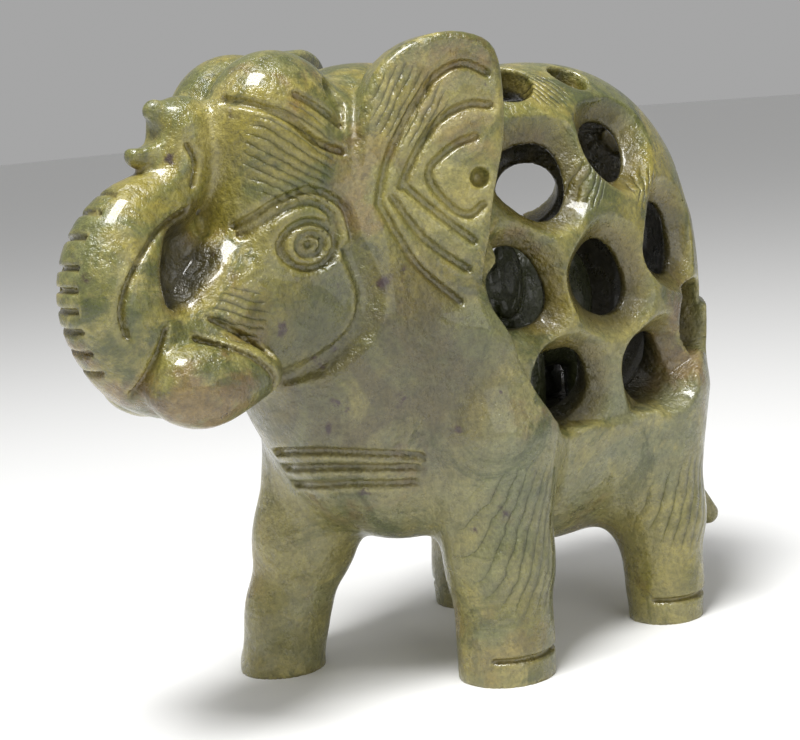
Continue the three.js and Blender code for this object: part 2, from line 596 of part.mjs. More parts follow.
// Thins a closed mesh to the given count of faces, merging the edge that changes the form least
function thin(points, faces, target) {
  const quadric = points.map(() => new Float64Array(10));
  const around = points.map(() => new Set());
  const alive = faces.map(() => true);
  const normalOf = (a, b, c) => {
    const u = [b[0] - a[0], b[1] - a[1], b[2] - a[2]];
    const v = [c[0] - a[0], c[1] - a[1], c[2] - a[2]];
    return [u[1] * v[2] - u[2] * v[1], u[2] * v[0] - u[0] * v[2], u[0] * v[1] - u[1] * v[0]];
  };
  faces.forEach((face, i) => {
    const [a, b, c] = face.map((v) => points[v]);
    const m = normalOf(a, b, c);
    const size = length3(...m) || 1e-12;
    const w = size / 2;
    const [nx, ny, nz] = m.map((v) => v / size);
    const h = -(nx * a[0] + ny * a[1] + nz * a[2]);
    const q = [nx * nx, nx * ny, nx * nz, nx * h, ny * ny, ny * nz, ny * h, nz * nz, nz * h, h * h];
    for (const v of face) {
      around[v].add(i);
      for (let k = 0; k < 10; k++) quadric[v][k] += q[k] * w;
    }
  });
  const cost = (q, p) => {
    const [x, y, z] = p;
    return q[0] * x * x + q[4] * y * y + q[7] * z * z + q[9] +
      2 * (q[1] * x * y + q[2] * x * z + q[5] * y * z + q[3] * x + q[6] * y + q[8] * z);
  };
  const best = (a, b) => {
    const q = quadric[a].map((v, k) => v + quadric[b][k]);
    const mid = points[a].map((v, k) => (v + points[b][k]) / 2);
    const pull = 1e-3 * (q[0] + q[4] + q[7]) + 1e-9; // keeps the answer near the edge where it is flat
    const A = [q[0] + pull, q[1], q[2], q[4] + pull, q[5], q[7] + pull];
    const r = [-q[3] + pull * mid[0], -q[6] + pull * mid[1], -q[8] + pull * mid[2]];
    const c0 = A[3] * A[5] - A[4] * A[4];
    const c1 = A[2] * A[4] - A[1] * A[5];
    const c2 = A[1] * A[4] - A[2] * A[3];
    const det = A[0] * c0 + A[1] * c1 + A[2] * c2;
    const c4 = A[0] * A[5] - A[2] * A[2];
    const c5 = A[1] * A[2] - A[0] * A[4];
    const c8 = A[0] * A[3] - A[1] * A[1];
    const p = [
      (c0 * r[0] + c1 * r[1] + c2 * r[2]) / det,
      (c1 * r[0] + c4 * r[1] + c5 * r[2]) / det,
      (c2 * r[0] + c5 * r[1] + c8 * r[2]) / det,
    ];
    const reach = length3(...points[a].map((v, k) => v - points[b][k]));
    const off = length3(...p.map((v, k) => v - mid[k]));
    const at = off < 1.5 * reach ? p : mid;
    return { at, cost: Math.max(cost(q, at), 0) + 1e-5 * reach * reach };
  };

  // A heap of edges, the cheapest first; an entry is stale once either end has moved
  const heap = [];
  const stamp = new Int32Array(points.length);
  const push = (e) => {
    heap.push(e);
    let i = heap.length - 1;
    while (i > 0) {
      const up = (i - 1) >> 1;
      if (heap[up].cost <= e.cost) break;
      heap[i] = heap[up];
      i = up;
    }
    heap[i] = e;
  };
  const pop = () => {
    const top = heap[0];
    const e = heap.pop();
    if (!heap.length) return top;
    let i = 0;
    for (;;) {
      let down = 2 * i + 1;
      if (down >= heap.length) break;
      if (down + 1 < heap.length && heap[down + 1].cost < heap[down].cost) down++;
      if (heap[down].cost >= e.cost) break;
      heap[i] = heap[down];
      i = down;
    }
    heap[i] = e;
    return top;
  };
  const addEdge = (a, b) => push({ a, b, sa: stamp[a], sb: stamp[b], ...best(a, b) });
  faces.forEach(([a, b, c]) => {
    if (a < b) addEdge(a, b);
    if (b < c) addEdge(b, c);
    if (c < a) addEdge(c, a);
  });

  const neighbours = (v) => {
    const out = new Set();
    for (const f of around[v]) for (const u of faces[f]) if (u !== v) out.add(u);
    return out;
  };
  // Whether the faces around v that stay would turn over or become slivers with v moved to p
  const spoils = (v, other, p) => {
    for (const f of around[v]) {
      const face = faces[f];
      if (face.includes(other)) continue;
      const old = face.map((u) => points[u]);
      const now = face.map((u) => (u === v ? p : points[u]));
      const m0 = normalOf(...old);
      const m1 = normalOf(...now);
      const s1 = length3(...m1);
      const dot = m0[0] * m1[0] + m0[1] * m1[1] + m0[2] * m1[2];
      if (dot < 0.35 * length3(...m0) * s1) return true;
      let longest = 0;
      for (let k = 0; k < 3; k++) {
        longest = Math.max(longest, length3(...now[k].map((c, t) => c - now[(k + 1) % 3][t])));
      }
      if (s1 < 0.06 * longest * longest) return true;
    }
    return false;
  };
  let left = faces.length;
  while (left > target && heap.length) {
    const { a, b, sa, sb, at } = pop();
    if (stamp[a] !== sa || stamp[b] !== sb) continue;
    const na = neighbours(a);
    const nb = neighbours(b);
    let shared = 0;
    for (const v of na) if (nb.has(v)) shared++;
    if (shared !== 2 || na.size + nb.size < 9) continue;
    if (spoils(a, b, at) || spoils(b, a, at)) continue;
    for (const f of [...around[b]]) {
      if (faces[f].includes(a)) {
        alive[f] = false;
        left--;
        for (const v of faces[f]) around[v].delete(f);
      } else {
        faces[f] = faces[f].map((v) => (v === b ? a : v));
        around[a].add(f);
      }
    }
    around[b].clear();
    points[a] = at;
    quadric[a] = quadric[a].map((v, k) => v + quadric[b][k]);
    stamp[b] = -1;
    stamp[a]++;
    for (const v of neighbours(a)) addEdge(a, v);
  }
  return faces.filter((_, i) => alive[i]);
}

// A mesh of the form f, thinned, scaled and moved to its place, with flat soles
function carved(name, f, [low, high], step, triangles, scale, place, colour) {
  const margin = 2.4 * step;
  const grid = sample(f, low.map((v) => v - margin), high.map((v) => v + margin), step);
  const { points, faces } = surface(grid, f);
  const kept = thin(points, largest(points, faces), triangles);
  const flat = 0.3 * step;
  const sole = low[2];
  const positions = [];
  for (const face of kept) {
    for (const v of face) {
      const [x, y, z] = points[v];
      const height = Math.abs(z - sole) < flat ? 0 : z - sole;
      positions.push(x * scale + place[0], y * scale + place[1], height * scale + place[2]);
    }
  }
  const geometry = new THREE.BufferGeometry();
  geometry.setAttribute("position", new THREE.Float32BufferAttribute(positions, 3));
  geometry.computeVertexNormals();
  const material = new THREE.MeshStandardMaterial({ color: colour, roughness: 0.38, metalness: 0 });
  const mesh = new THREE.Mesh(geometry, material);
  mesh.name = name;
  return mesh;
}

const sculpture = new THREE.Group();
sculpture.name = "soapstone_elephant";
sculpture.add(carved(
  "elephant", elephant, OUTER_ROOM, OUTER_CELL, OUTER_TRIANGLES,
  SCALE, [0, 0, 0], STONE_COLOUR));
sculpture.add(carved(
  "inner_elephant", innerElephant, INNER_ROOM, INNER_CELL / INNER_SCALE, INNER_TRIANGLES,
  SCALE * INNER_SCALE, INNER_PLACE.map((v, i) => (i === 2 ? v - SOLES : v) * SCALE), INNER_STONE_COLOUR));

// The middle of the sculpture's footprint stands over the origin
const box = new THREE.Box3().setFromObject(sculpture);
const middle = box.getCenter(new THREE.Vector3());
for (const mesh of sculpture.children) mesh.geometry.translate(-middle.x, -middle.y, -box.min.z);

export default sculpture;
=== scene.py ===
"""A small soapstone elephant with a pierced, hollow body and a smaller elephant loose inside it.

The carved form is worked out here at a finer grain from the same sizes as the solids, and replaces them.
Form sizes are millimetres in the carving's own frame: it faces -Y, its left side is +X.
"""

import math

import bpy
import numpy as np
from mathutils import Matrix


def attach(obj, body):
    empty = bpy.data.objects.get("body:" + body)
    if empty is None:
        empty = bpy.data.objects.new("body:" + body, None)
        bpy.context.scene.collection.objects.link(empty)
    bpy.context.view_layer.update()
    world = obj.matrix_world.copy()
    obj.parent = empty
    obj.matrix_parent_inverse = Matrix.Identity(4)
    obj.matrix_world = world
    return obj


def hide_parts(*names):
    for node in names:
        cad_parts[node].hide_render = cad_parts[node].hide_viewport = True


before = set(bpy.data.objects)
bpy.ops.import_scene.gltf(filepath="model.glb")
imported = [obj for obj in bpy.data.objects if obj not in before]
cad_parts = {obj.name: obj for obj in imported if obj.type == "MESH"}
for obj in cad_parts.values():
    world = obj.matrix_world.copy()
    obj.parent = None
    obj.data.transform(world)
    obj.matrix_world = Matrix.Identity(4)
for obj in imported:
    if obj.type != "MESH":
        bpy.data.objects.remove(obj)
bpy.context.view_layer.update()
MM = 0.001

# Sizes of the form
HEIGHT = 75  # soles to ear tops
FORM_HEIGHT = 76.8  # the same, in the form's own frame
SCALE = HEIGHT / FORM_HEIGHT
SOLES = -1.4  # height of the soles in the form's own frame
CAGE_WALL = 4.8
DISH_DEPTH = 2.8  # of the shallow dish round each hole
DISH_SPREAD = 3
DISH_END_ABOVE, DISH_END_BEHIND, DISH_END_OVER = 64, 25, 7  # the dishes fade out at the ridge and the rump
GROOVE_DEPTH = 0.75
GROOVE_WIDTH = 1.1
NOTCH_WIDTH = 0.7
INNER_HEIGHT = 22.3
INNER_FORM_HEIGHT = 75
LOOSE_GAP = 0.35

# How softly each form runs into the next
SOFT = {
    "chest": 4, "shoulder": 3, "neck": 5, "throat": 4, "legs": 4, "leg": 3, "tail": 1.5, "head": 2.5,
    "dome": 2, "jaw": 4, "chain": 1, "curl": 1, "trunk": 1.6, "pocket": 1, "nostril": 0.6, "tusk": 0.8,
    "hollow": 0.8, "hole": 0.4, "line": 0.3,
}

# Grain of the fine mesh
VOXEL = 0.4
INNER_VOXEL = 1.6
MOST_TRIANGLES = 190000
SLAB = 8  # layers of the grid worked out at a time

# The body
BODY_CENTRE = (0, 11.5, 41)
BODY_HALF = (19.5, 27, 31.5)
BODY_POWER = 2.35
CHEST = ((0, -11, 35.5), (14.5, 19, 21))
SHOULDER = ((10, -7.5, 38), (9, 10, 15))
NECK = ((0, -14.5, 56.5), (14, 19, 16.5))
THROAT = ((0, -20, 43), (15, 13.5, 18))

# Legs from shoulder or hip to sole, and the tail: points and radius
LEGS = (
    ((-9, -16.5, 26, 8), (-10.9, -19.6, 15, 6), (-12.3, -22.4, 6, 4.7), (-13, -23.4, -0.8, 5.4)),
    ((11.2, -8, 27, 9), (13, -9.2, 12, 6), (13.4, -9.6, 4, 5.2), (13.5, -9.9, -0.8, 5.9)),
    ((-10.5, 14, 27, 9.5), (-12.8, 12.5, 12, 6.2), (-13.4, 11.6, 4, 5), (-13.5, 11.4, -0.8, 5.3)),
    ((11, 20, 27, 9.5), (13.4, 20, 12, 5.7), (14.4, 19.4, 4, 4.4), (14.6, 19, -0.8, 4.8)),
)
TAIL = ((0, 36.5, 50, 2.6), (0, 38.5, 36, 2.4), (1, 37.5, 20, 2.3), (2, 39, 11, 2.3), (3.2, 43, 5.8, 1.6))
LEGS_TOP = 60  # the legs reach no higher than this
TOE_ABOVE, TOE_FROM = 3.2, 16  # the line round the outer half of each foot
FOOT_HEIGHT = 8

# The head
SKULL = ((0, -27.5, 57), (10.2, 11.2, 14.5), 2.5)
DOME = ((3.4, -30, 66.4), (7.2, 8.4, 8.6))
JAW = ((0, -31, 45.5), (9.6, 9.5, 8.6))
HEAD_BEHIND, HEAD_BELOW = -8, 24  # the head lies ahead of and above these


# Curves
def smooth(points, steps, closed=False):
    """Points on a smooth curve through the given ones."""
    p = np.array(points, float)
    n = len(p)
    out = []
    for i in range(n if closed else n - 1):
        ring = [(i + k) % n if closed else min(max(i + k, 0), n - 1) for k in (-1, 0, 1, 2)]
        p0, p1, p2, p3 = p[ring]
        for s in range(steps):
            t = s / steps
            out.append(0.5 * (2 * p1 + (p2 - p0) * t + (2 * p0 - 5 * p1 + 4 * p2 - p3) * t * t
                              + (3 * p1 - p0 - 3 * p2 + p3) * t ** 3))
    if not closed:
        out.append(p[-1])
    return np.array(out)


def arc(cy, cz, ry, rz, a0, a1, steps):
    """Part of an ellipse in the side view, angles in degrees."""
    a = np.radians(np.linspace(a0, a1, steps + 1))
    return np.stack([cy + ry * np.cos(a), cz + rz * np.sin(a)], -1)


# The trunk and the tusks
TRUNK = smooth([
    (0, -36, 47.5, 8.6), (0, -42.5, 43, 7.2), (0, -48, 43.6, 6.2), (0, -51, 48.5, 5.9), (0, -50.8, 53.5, 5.3),
    (0, -48.4, 57.4, 4.2), (0, -44.2, 59.4, 3.6), (0, -41.4, 62.3, 3.3), (0, -40.4, 65, 3.4),
    (0, -40.1, 67.3, 3.4),
], 4)
TRUNK_WEB = ((0, -44, 51.5), (1.8, 6.5, 8))
TRUNK_POCKET = ((4.6, -41.4, 57, 1.6), (4.6, -43.6, 54.4, 3), (4.4, -46, 51.4, 2.4), (4.4, -48.2, 49, 1))
TRUNK_LIPS = (
    ((0, -42, 64.6, 2.6), (0, -46.5, 64.7, 1.3)),
    ((0, -41, 67.5, 2.9), (0, -43.5, 69.3, 1.3)),
)
NOSTRIL = ((0, -46, 67.1), (3.6, 2.4, 1.6))
FAR_TUSK_SHORTER = 2.4  # the right tusk ends this much short of the left one
TUSK = smooth([
    (8.2, -38.6, 40.2, 2.2), (7.4, -42, 40.2, 3.6), (6.6, -45.6, 39.8, 4.4), (6.2, -48, 40.2, 3.9),
], 3)
RIM_CENTRE = (-44.5, 51)
RIM_INNER, RIM_FROM, RIM_TO, RIM_FRONT = 9, -4.6, 1.8, -40
RIM_CUTS = (122, 136, 151, 167, 178, 188, 198, 209, 220)  # angles round the curl's centre
TRUNK_SIDE, TRUNK_BEHIND, TRUNK_TOP = 2.4, -38, 70  # the trunk's lines lie outside, ahead and below these
TRUNK_LINES = (
    smooth([(-43.4, 58.6), (-48.2, 56.6), (-52.2, 53), (-54, 49.3), (-53.6, 46.2)], 4),
    smooth([(-42, 65.4), (-41.4, 63.4), (-42.2, 61)], 4),
    smooth([(-46, 44.8), (-42.9, 43.2), (-39.6, 40.6), (-38.6, 38.8)], 4),
    smooth([(-49.4, 46.4), (-51.2, 42.8), (-52.4, 39)], 4),
    smooth([(-43.6, 46.6), (-40.6, 44.4), (-38, 41.8)], 4),
)

# The ears, drawn in their own plane as distance forward of the rear edge and height
EAR_REAR = (19.6, -8.5)
EAR_TURN = math.radians(27)
EAR_OUTLINE = smooth([
    (18.4, 60.5), (16.4, 69.5), (12.6, 73.8), (7.4, 75.4), (3.2, 74.9), (0.8, 73), (0.2, 68.5), (0.6, 62.6),
    (2.2, 56.8), (3.2, 51.8), (4.4, 47), (4.4, 43.5), (3.9, 39.8), (8.2, 41.6), (12.6, 45.6), (16.2, 51.5),
], 3, True)
EAR_THICKNESS = 6
EAR_EDGE = 1.2
EAR_BLEND = 0.8
EAR_FADE_BELOW, EAR_FADE_OVER, EAR_FADE_BLEND = 47, 5, 3  # the ear melts into the shoulder at its foot
EAR_LINES = (
    smooth([(16.3, 56.9), (14.7, 61.8), (11.2, 67.3), (8.3, 70.5), (5.1, 71.7), (2.2, 70.4)], 4),
    smooth([(13.4, 58.5), (11.1, 62.5), (8.3, 65.6), (5, 67), (2.2, 66.8)], 4),
    smooth([(4.2, 63.4), (7.2, 62.4), (10.1, 59.6), (7.8, 55.8), (5.6, 54.6), (3.9, 55.6)], 4),
    smooth([(12.8, 58.4), (9, 54.8), (5.3, 51.6)], 4),
    smooth([(14.6, 57.4), (11.2, 52.4), (6.4, 48.5)], 4),
    smooth([(16.1, 56.6), (14.4, 53), (12.3, 49.3), (7.7, 44.8)], 4),
)
EAR_PIT = (4, 58.7, 1.2)  # forward of the rear edge, height and radius
EAR_PIT_DEEPER = 1.6  # how much deeper than wide the pit is
NEAR_EAR = 1.5  # the ear's lines are cut within this distance of it
EAR_ROOM = (-8, 27, 12, 32)  # rearmost, foremost, thickest and lowest reach of the ear

# Lines of the face in the side view, and of the chest in the front view
EYE_Y, EYE_Z, EYE_RY, EYE_RZ, EYE_PIT = -31.4, 53.3, 3.1, 2.6, 0.7
EYE_PIT_DEEPER = 1.4
EYE_INNER_RING = 0.48  # its share of the outer ring
FACE_SIDE, FACE_BEHIND, FACE_BELOW = 4, -20, 36  # the face's lines lie outside, ahead and above these
HEAD_LINES = (
    arc(EYE_Y, EYE_Z, EYE_RY, EYE_RZ, 0, 360, 24),
    arc(EYE_Y + 0.2, EYE_Z, EYE_RY * EYE_INNER_RING, EYE_RZ * EYE_INNER_RING, 0, 360, 16),
    smooth([
        (-37.5, 56.1), (-35.4, 57.8), (-33.4, 58.8), (-30.5, 59.3), (-27.9, 58), (-26.7, 56.3), (-26.4, 52.7),
    ], 4),
    smooth([(-37.3, 55.1), (-35.1, 56.7), (-33.1, 57.7), (-30.5, 57.9), (-28.6, 56.5), (-28, 54.3)], 4),
    np.array([(-31.4, 69.7), (-24.4, 65.4)]),
    smooth([(-38.4, 70.3), (-33.5, 67.8), (-29.9, 64.7), (-24, 62.4)], 4),
)
HEAD_VALLEYS = (
    smooth([(-26.8, 52), (-26, 47.5), (-27.4, 43), (-31, 39.6), (-35.5, 37.8)], 4),
    smooth([(-25.6, 70), (-24, 66.3), (-22.9, 61.5), (-22.6, 57.5)], 4),
)
VALLEY_WIDTH = 2.6
CHEST_LINES = (
    smooth([(-3, 28.3), (1, 28.9), (6, 29), (10, 28.2), (12, 26.8)], 4),
    smooth([(-4, 26), (1, 26.7), (6, 26.9), (10, 26.2), (11.6, 25.4)], 4),
    smooth([(-4.4, 23.6), (1, 24.3), (6, 24.6), (10.6, 23.8)], 4),
)
CHEST_FRONT, CHEST_LOW, CHEST_HIGH = -19, 18, 34

# The cage: holes of both flanks and single holes, centre and radius
FLANK_HOLES = (
    (16.8, 0.3, 59.3, 5), (16.4, 15.4, 62.2, 4.2), (17.2, -6.4, 44.6, 5), (19.3, 9, 44.2, 4.8),
    (18.2, 23.4, 48, 4.7), (18.3, 0.6, 31, 4.6), (19, 17, 31, 4.2), (15, 29, 36.5, 4.2),
    (8, 14.6, 70, 2), (7.5, 4, 71.5, 3.1),
)
SINGLE_HOLES = ((2.5, 32.5, 62, 2.6), (0, 16, 72, 3), (10.8, 32.6, 54, 4.2), (-13.6, 28.4, 55.6, 4.2))
HOLE_AIM = (0, 11.5, 44)
FLANK_AIM_PULL = 0.5
HAND_WAVER = 0.4  # how far the holes stray from round
WAVER_TURN = (0.55, 1.3, 0.5, 0.7)  # pitch and phase of that straying, up and along the body
HOLE_REACH = 14
CAGE_TOP = 66.8
CAGE_FLOOR = 27
CAGE_FRONT, CAGE_BELOW = -14, 20  # nothing is pierced ahead of or below this
CAGE_EDGE = 0.8  # width of the slope from the plain stone down to the cage
HOLLOW_CROWN = 4  # extra stone over the top of the hollow
HOLLOW_CENTRE = (0, 11.5, 45)
HOLLOW_POWER = 2.4
SADDLE_STEP = 0.9
INNER_PLACE = (0, 10)
# The boundary of the cage in the side view
SADDLE = smooth([
    (3, 76), (-4, 68), (-8.2, 58), (-8.6, 49), (-9.9, 40.7), (-4.4, 29.7), (4.6, 26.9), (13.8, 27.2),
    (23.4, 31.5), (33, 38), (44, 42), (46, 60), (30, 78),
], 3, True)

# The inner elephant: plain body, head, ears, trunk and legs
INNER_BODY = ((0, 12, 42), (19, 29, 28), 2.4)
INNER_HEAD = ((0, -24, 54), (14, 15, 19))
INNER_EAR = ((13, -17, 56), (5, 9, 16))
INNER_TRUNK = ((0, -36, 50, 8), (0, -41, 34, 6.5), (0, -38, 20, 5.5))
INNER_LEGS = (((12, -9, 26, 9), (12, -9, 0, 8)), ((12, 27, 26, 9), (12, 27, 0, 8)))
INNER_SOFT = {"head": 6, "ear": 2, "trunk": 4, "chain": 2, "legs": 4}

# The rooms that the two forms are worked out in, low and high corners
OUTER_ROOM = ((-22.5, -59, SOLES - 1), (22.5, 48, 77))
INNER_ROOM = ((-22, -52, -2.5), (22, 45, 76))

# How far from the surface the crevices and edges are felt: the crevices for painted shade, the exposed edges
# for lightening
CREVICE_AND_EDGE_REACH = 0.7
INNER_CREVICE_AND_EDGE_REACH = 3

# Painted shade: the colour is darkened in the holes of the cage, and in the pocket between trunk and cheek
SHADE_START = 0.8  # depth at which a hole's wall begins to darken
SHADE_FRONT = -12
SHADE_UNDER_FLOOR = 2
POCKET_SHADE, POCKET_REACH = 0.9, 1.6

FAR = 50.0
SKIN = 3  # lines are cut only this near the surface


# Distance functions, on arrays of points
def join(a, b, k):
    h = np.maximum(k - np.abs(a - b), 0) / k
    return np.minimum(a, b) - h * h * k * 0.25


def carve(a, b, k):
    return -join(-a, b, k)


def length(*v):
    return np.sqrt(sum(c * c for c in v))


def ellipsoid(x, y, z, centre, half):
    a = [(p - c) / h for p, c, h in zip((x, y, z), centre, half)]
    k0 = length(*a)
    k1 = length(*[v / h for v, h in zip(a, half)])
    return k0 * (k0 - 1) / np.maximum(k1, 1e-6)


def squared_ellipsoid(x, y, z, centre, half, power):
    a = [np.abs(p - c) / h for p, c, h in zip((x, y, z), centre, half)]
    b = [v ** (power - 1) for v in a]
    total = np.maximum(sum(v * w for v, w in zip(a, b)), 1e-6)
    k = total ** (1 / power)
    slope = k / total * length(*[w / h for w, h in zip(b, half)])
    return (k - 1) / np.maximum(slope, 1e-6)


def chain(x, y, z, points, k=0.0):
    d = np.full(x.shape, FAR, x.dtype)
    for a, b in zip(points[:-1], points[1:]):
        v = [b[i] - a[i] for i in range(3)]
        p = [x - a[0], y - a[1], z - a[2]]
        t = np.clip(sum(q * w for q, w in zip(p, v)) / sum(w * w for w in v), 0, 1)
        e = length(*[q - t * w for q, w in zip(p, v)]) - (a[3] + (b[3] - a[3]) * t)
        d = join(d, e, k) if k > 0 else np.minimum(d, e)
    return d


def line_distance(u, v, points):
    d = np.full(u.shape, FAR, u.dtype)
    for a, b in zip(points[:-1], points[1:]):
        du, dv = b[0] - a[0], b[1] - a[1]
        t = np.clip(((u - a[0]) * du + (v - a[1]) * dv) / (du * du + dv * dv), 0, 1)
        d = np.minimum(d, length(u - a[0] - t * du, v - a[1] - t * dv))
    return d


def outline_distance(u, v, points):
    d = line_distance(u, v, np.vstack([points, points[:1]]))
    inside = np.zeros(u.shape, bool)
    for a, b in zip(points, np.roll(points, 1, 0)):
        if a[1] == b[1]:
            continue
        inside ^= ((a[1] > v) != (b[1] > v)) & (u < a[0] + (v - a[1]) / (b[1] - a[1]) * (b[0] - a[0]))
    return np.where(inside, -d, d)


def where(mask, values, default):
    """An array of default, with the values worked out only where the mask holds."""
    out = np.full(mask.shape, default, np.float32) if np.isscalar(default) else default.copy()
    if mask.any():
        out[mask] = values(mask)
    return out


# The form
def leg_distance(x, y, z):
    d = np.full(x.shape, FAR, x.dtype)
    for leg in LEGS:
        d = np.minimum(d, chain(x, y, z, leg, SOFT["leg"]))
    return join(d, chain(x, y, z, TAIL, SOFT["tail"]), SOFT["tail"])


def head_distance(x, y, z):
    ax = np.abs(x)
    d = squared_ellipsoid(x, y, z, *SKULL)
    d = join(d, ellipsoid(ax, y, z, *DOME), SOFT["dome"])
    d = join(d, ellipsoid(x, y, z, *JAW), SOFT["jaw"])
    trunk = chain(x, y, z, TRUNK, SOFT["chain"])
    trunk = join(trunk, ellipsoid(x, y, z, *TRUNK_WEB), SOFT["curl"])
    for lip in TRUNK_LIPS:
        trunk = join(trunk, chain(x, y, z, lip), SOFT["curl"])
    trunk = carve(trunk, ellipsoid(x, y, z, *NOSTRIL), SOFT["nostril"])
    d = join(d, trunk, SOFT["trunk"])
    d = carve(d, chain(ax, y, z, TRUNK_POCKET, SOFT["chain"]), SOFT["pocket"])
    back = np.where(x < 0, FAR_TUSK_SHORTER, 0)
    return join(d, chain(ax, y - back, z, TUSK, SOFT["chain"]), SOFT["tusk"])


def ear_frame(ax, y):
    """Distance forward of the ear's rear edge, and outward of its outer face."""
    dx, dy = ax - EAR_REAR[0], y - EAR_REAR[1]
    sin, cos = math.sin(EAR_TURN), math.cos(EAR_TURN)
    return -dx * sin - dy * cos, dx * cos - dy * sin


def ear_distance(ax, y, z):
    forward, outward = ear_frame(ax, y)
    rear, fore, thick, foot = EAR_ROOM
    near = (np.abs(outward) < thick) & (forward > rear) & (forward < fore) & (z > foot)

    def plate(m):
        flat = outline_distance(forward[m], z[m], EAR_OUTLINE) + EAR_EDGE
        deep = np.abs(outward[m] + EAR_THICKNESS / 2) - EAR_THICKNESS / 2 + EAR_EDGE
        corner = length(np.maximum(flat, 0), np.maximum(deep, 0))
        return corner + np.minimum(np.maximum(flat, deep), 0) - EAR_EDGE

    return where(near, plate, thick)


def hole_list():
    out = []
    for i, (x, y, z, r) in enumerate(FLANK_HOLES + SINGLE_HOLES):
        twin = i < len(FLANK_HOLES)
        pull = FLANK_AIM_PULL if twin else 1
        v = np.array([x - HOLE_AIM[0], (y - HOLE_AIM[1]) * pull, (z - HOLE_AIM[2]) * pull])
        out.append(((x, y, z), v / np.linalg.norm(v), r, twin))
    return out


HOLES = hole_list()


def hole_distance(x, y, z, flare):
    """Distance to the holes, with a dish of the given spread round each."""
    d = np.full(x.shape, FAR, x.dtype)
    for at, v, r, twin in HOLES:
        p = [(np.abs(x) if twin else x) - at[0], y - at[1], z - at[2]]
        along = sum(q * w for q, w in zip(p, v))
        off = length(*[q - along * w for q, w in zip(p, v)])
        d = np.minimum(d, np.where(along < -HOLE_REACH, FAR, off - r - (flare if twin else 0)))
    return d


def groove(d, e, width=GROOVE_WIDTH):
    r = width / 2
    return r - length(d * (r / GROOVE_DEPTH), e)


def carved_lines(x, y, z, d, ears):
    """The surface d with the lines of the face, ears, trunk, chest and feet cut into it."""
    ax = np.abs(x)
    cut = np.full(d.shape, -FAR, np.float32)

    def add(mask, values):
        if mask.any():
            cut[mask] = np.maximum(cut[mask], values(mask))

    close = np.abs(d) < SKIN
    forward, outward = ear_frame(ax, y)
    on_ear = close & (ears < NEAR_EAR) & (outward > -EAR_THICKNESS / 2)
    for line in EAR_LINES:
        add(on_ear, lambda m: groove(d[m], line_distance(forward[m], z[m], line)))
    pit_forward, pit_height, pit_radius = EAR_PIT
    add(on_ear, lambda m: pit_radius - length(
        d[m] / EAR_PIT_DEEPER, forward[m] - pit_forward, z[m] - pit_height))
    on_face = close & (ears >= NEAR_EAR) & (y < FACE_BEHIND) & (ax > FACE_SIDE) & (z > FACE_BELOW)
    for line in HEAD_VALLEYS:
        add(on_face, lambda m: groove(d[m], line_distance(y[m], z[m], line), VALLEY_WIDTH))
    for line in HEAD_LINES:
        add(on_face, lambda m: groove(d[m], line_distance(y[m], z[m], line)))
    add(on_face, lambda m: EYE_PIT - length(d[m] / EYE_PIT_DEEPER, y[m] - EYE_Y, z[m] - EYE_Z))
    on_trunk = close & (y < TRUNK_BEHIND) & (ax > TRUNK_SIDE) & (z < TRUNK_TOP)
    for line in TRUNK_LINES:
        add(on_trunk, lambda m: groove(d[m], line_distance(y[m], z[m], line), NOTCH_WIDTH))
    on_chest = close & (y < CHEST_FRONT) & (z < CHEST_HIGH) & (z > CHEST_LOW)
    for line in CHEST_LINES:
        add(on_chest, lambda m: groove(d[m], line_distance(x[m], z[m], line)))
    ry, rz = y - RIM_CENTRE[0], z - RIM_CENTRE[1]
    angle = np.degrees(np.arctan2(rz, ry)) % 360
    radius = length(ry, rz)
    on_rim = close & (radius > RIM_INNER) & (x > RIM_FROM) & (x < RIM_TO) & (y < RIM_FRONT)
    for at in RIM_CUTS:
        add(on_rim, lambda m: groove(d[m], np.abs(angle[m] - at) * math.pi * radius[m] / 180, NOTCH_WIDTH))
    on_foot = close & (ax > TOE_FROM) & (z < SOLES + FOOT_HEIGHT)
    add(on_foot, lambda m: groove(d[m], np.abs(z[m] - SOLES - TOE_ABOVE), NOTCH_WIDTH))
    return np.where(cut > -SKIN, carve(d, -cut, SOFT["line"]), d)


